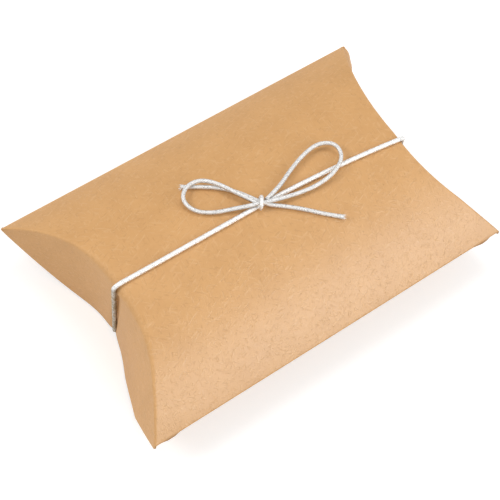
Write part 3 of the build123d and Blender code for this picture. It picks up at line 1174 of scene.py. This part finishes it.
class PILLOWBOX_OT_seam(bpy.types.Operator):
    """Spread the glue film in the seam, just inside the edge of the lower panel"""

    bl_idname = "pillowbox.seam"
    bl_label = "Seam glue"

    def execute(self, context):
        board = context.scene.pillow_board
        along, out = seam_directions()
        outer = np.array((-half_width, fold_height)) + out * glue_film
        share = np.linspace(-1, 1, board.rows + 1)
        waver = glue_waver * np.sin(share * glue_waves[0]) * np.cos(share * glue_waves[1])
        rows = []
        for t in np.linspace(0, 1, glue_rows):
            x = share * (half_length - glue_flap_end - glue_flap_taper * t - glue_margin)
            first = seam_setback + glue_margin + tucked(x) + waver
            yz = outer + along * (first + (glue_flap_width - glue_margin - first) * t)[:, None]
            rows.append(np.column_stack((x, yz)))
        obj = formed_grid("seam_glue_film", rows)
        face_outwards(obj)
        thicken(obj, glue_film * glue_film_share)
        obj.data.materials.append(material(dried_glue, board))
        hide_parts("seam_glue")
        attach(obj, "box")
        return {"FINISHED"}


class PILLOWBOX_OT_tie(bpy.types.Operator):
    """Lay the cord, pulled tight, lengthwise round the box"""

    bl_idname = "pillowbox.tie"
    bl_label = "Tie"

    def execute(self, context):
        cord = context.scene.pillow_cord
        radius = cord.diameter / 2
        knot = over_board(knot_place.x, knot_place.y, radius)
        lows = {side: tie_corner(side, cord, False) for side in side_names}
        middle = (lows[-1] + lows[1]) / 2
        for side, name in side_names.items():
            high, low = tie_corner(side, cord, True), lows[side]
            turn = max(crease_at_tie[side], cord.diameter)
            above = from_corner(high, knot, turn)
            under = from_corner(low, lows[-side], tie_under_run)
            across = [knot, over_board(*tie_middles[side], radius), above]
            self.run("tie_top_" + name, across, cord, "tie_top_%s_run" % name, "box")
            down = [above, high, from_corner(high, low, turn), (high + low) / 2,
                    from_corner(low, high, tie_low_run), low, under]
            end = self.run("tie_end_" + name, down, cord, "tie_%s_end_run" % name)
            # Painted shade: marks the end run darker below the top of the board
            mark(end, "taut", np.clip((tie_shade_start - coordinates(end)[:, 2]) / tie_shade_run, 0, 1))
            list(crease_to_edge(side))
            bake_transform(end)
            below = self.run("tie_bottom_" + name, [under, middle], cord, "tie_bottom_run")
            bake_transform(below)
        return {"FINISHED"}

    def run(self, name, route, cord, stands_for, body=None):
        """One stretch of the tied cord, riding a body if one is given."""
        obj = braided_tube(name, spline_line(route), cord.diameter, cord)
        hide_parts(stands_for)
        if body:
            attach(obj, body)
        return obj


class PILLOWBOX_OT_knot(bpy.types.Operator):
    """Wrap one strand round the middle of the bow"""

    bl_idname = "pillowbox.knot"
    bl_label = "Knot"

    def execute(self, context):
        cord = context.scene.pillow_cord
        lean = Matrix.Rotation(knot_lean, 3, "Z")
        middle = Vector((knot_place.x + knot_shift[0], knot_place.y + knot_shift[1], top + knot_half_height))
        lowest = top + cord.diameter * knot_rest
        route = []
        for degrees in knot_degrees:
            a = math.radians(degrees)
            place = lean @ Vector((
                knot_drift * degrees, knot_half_width * math.cos(a), knot_half_height * math.sin(a)))
            place += middle
            route.append((place.x, place.y, max(place.z, lowest)))
        obj = braided_tube("knot_wrap", spline_line(route), cord.bow_diameter, cord, knot_flare)
        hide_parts("tie_knot")
        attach(obj, "box")
        return {"FINISHED"}


class PILLOWBOX_OT_bow(bpy.types.Operator):
    """Lay the two loops of the bow, each running on through the knot into a tail"""

    bl_idname = "pillowbox.bow"
    bl_label = "Bow"

    def execute(self, context):
        cord = context.scene.pillow_cord
        upper = (knot_place.x, knot_place.y, left_strand_lift)
        middle = (knot_place.x, knot_place.y, right_strand_lift)
        self.strand("bow_left_loop_strand", left_loop + (upper,) + right_tail, cord, 0.0535,
                    ("bow_left_loop", "bow_right_tail"))
        self.strand("bow_right_loop_strand", right_loop + (middle,) + left_tail, cord, 0.0630,
                    ("bow_right_loop", "bow_left_tail"))
        return {"FINISHED"}

    def strand(self, name, route, cord, length, stands_for):
        """A loop and the tail that it runs on into."""
        line = spline_line([over_board(*stop) for stop in route])
        obj = braided_tube(name, line, cord.bow_diameter, cord, strand_flare)
        # Painted shade: the whole bow strand is marked darker than the tie
        mark(obj, "slack", np.ones(len(obj.data.vertices)))
        fray = self.frayed_end(name + "_end", line, cord)
        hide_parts(*stands_for)
        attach(obj, "box")
        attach(fray, "box")

    def frayed_end(self, name, line, cord):
        """Loose thread ends that stand out of the cut end of a tail."""
        chance = np.random.default_rng(len(line))
        tangent = line[-1] - line[-4]
        tangent /= np.linalg.norm(tangent)
        side = np.cross(tangent, (0, 0, 1))
        up = np.cross(side, tangent)
        places, faces = [], []
        for first in range(0, 5 * fray_threads, 5):
            a = 2 * math.pi * chance.random()
            out = math.cos(a) * side + math.sin(a) * up
            root = line[-1] + out * cord.bow_diameter * 0.5 * math.sqrt(chance.random()) - tangent * fray_root
            length = fray_shortest + fray_longer * chance.random()
            spread = fray_least_spread + fray_more_spread * chance.random()
            tip = root + tangent * length + out * length * spread
            tip[2] = max(tip[2], float(arch_height(tip[1])) + fray_lift)
            places += self.hair(root, tip)
            faces += [[first + j, first + (j + 1) % 4, first + 4] for j in range(4)]
            faces.append([first + j for j in (3, 2, 1, 0)])
        uv = [(fray_map + fray_map_step * (v % 5), fray_map_lead * (v // 5)) for face in faces for v in face]
        return cord_piece(name, places, faces, [False] * len(faces), uv, cord)

    def hair(self, root, tip):
        """Four places round the root of a thread end, and its tip."""
        along = Vector(tip - root).normalized()
        side = along.orthogonal().normalized()
        up = along.cross(side)
        around = [Vector(root) + out * fray_radius for out in (side, up, -side, -up)]
        return [tuple(p) for p in around] + [tuple(tip)]


class PILLOWBOX_PT_panel(bpy.types.Panel):
    """Lists the steps and settings of the pillow box"""

    bl_idname = "PILLOWBOX_PT_panel"
    bl_label = "Pillow Box"
    bl_space_type = "VIEW_3D"
    bl_region_type = "UI"
    bl_category = "Pillow Box"

    def draw(self, context):
        for step in steps:
            self.layout.operator(step.bl_idname)
        for group in (context.scene.pillow_board, context.scene.pillow_cord, context.scene.pillow_stage):
            box = self.layout.box()
            for name in group.__annotations__:
                box.prop(group, name)


groups = (BoardSettings, CordSettings, StageSettings)
steps = (
    PILLOWBOX_OT_stage,
    PILLOWBOX_OT_sleeve,
    PILLOWBOX_OT_outer_flaps,
    PILLOWBOX_OT_inner_flaps,
    PILLOWBOX_OT_seam,
    PILLOWBOX_OT_tie,
    PILLOWBOX_OT_knot,
    PILLOWBOX_OT_bow,
)


def register():
    """Adds the settings, steps and panel to Blender."""
    for cls in groups + steps + (PILLOWBOX_PT_panel,):
        bpy.utils.register_class(cls)
    bpy.types.Scene.pillow_board = PointerProperty(type=BoardSettings)
    bpy.types.Scene.pillow_cord = PointerProperty(type=CordSettings)
    bpy.types.Scene.pillow_stage = PointerProperty(type=StageSettings)


def unregister():
    """Takes them away again."""
    del bpy.types.Scene.pillow_stage
    del bpy.types.Scene.pillow_cord
    del bpy.types.Scene.pillow_board
    for cls in reversed(groups + steps + (PILLOWBOX_PT_panel,)):
        bpy.utils.unregister_class(cls)


def main():
    """Builds the box piece by piece."""
    register()
    bpy.ops.pillowbox.stage()
    bpy.ops.pillowbox.sleeve()
    bpy.ops.pillowbox.outer_flaps()
    bpy.ops.pillowbox.inner_flaps()
    bpy.ops.pillowbox.seam()
    bpy.ops.pillowbox.tie()
    bpy.ops.pillowbox.knot()
    bpy.ops.pillowbox.bow()
    deselect_all()


if __name__ == "__main__":
    main()
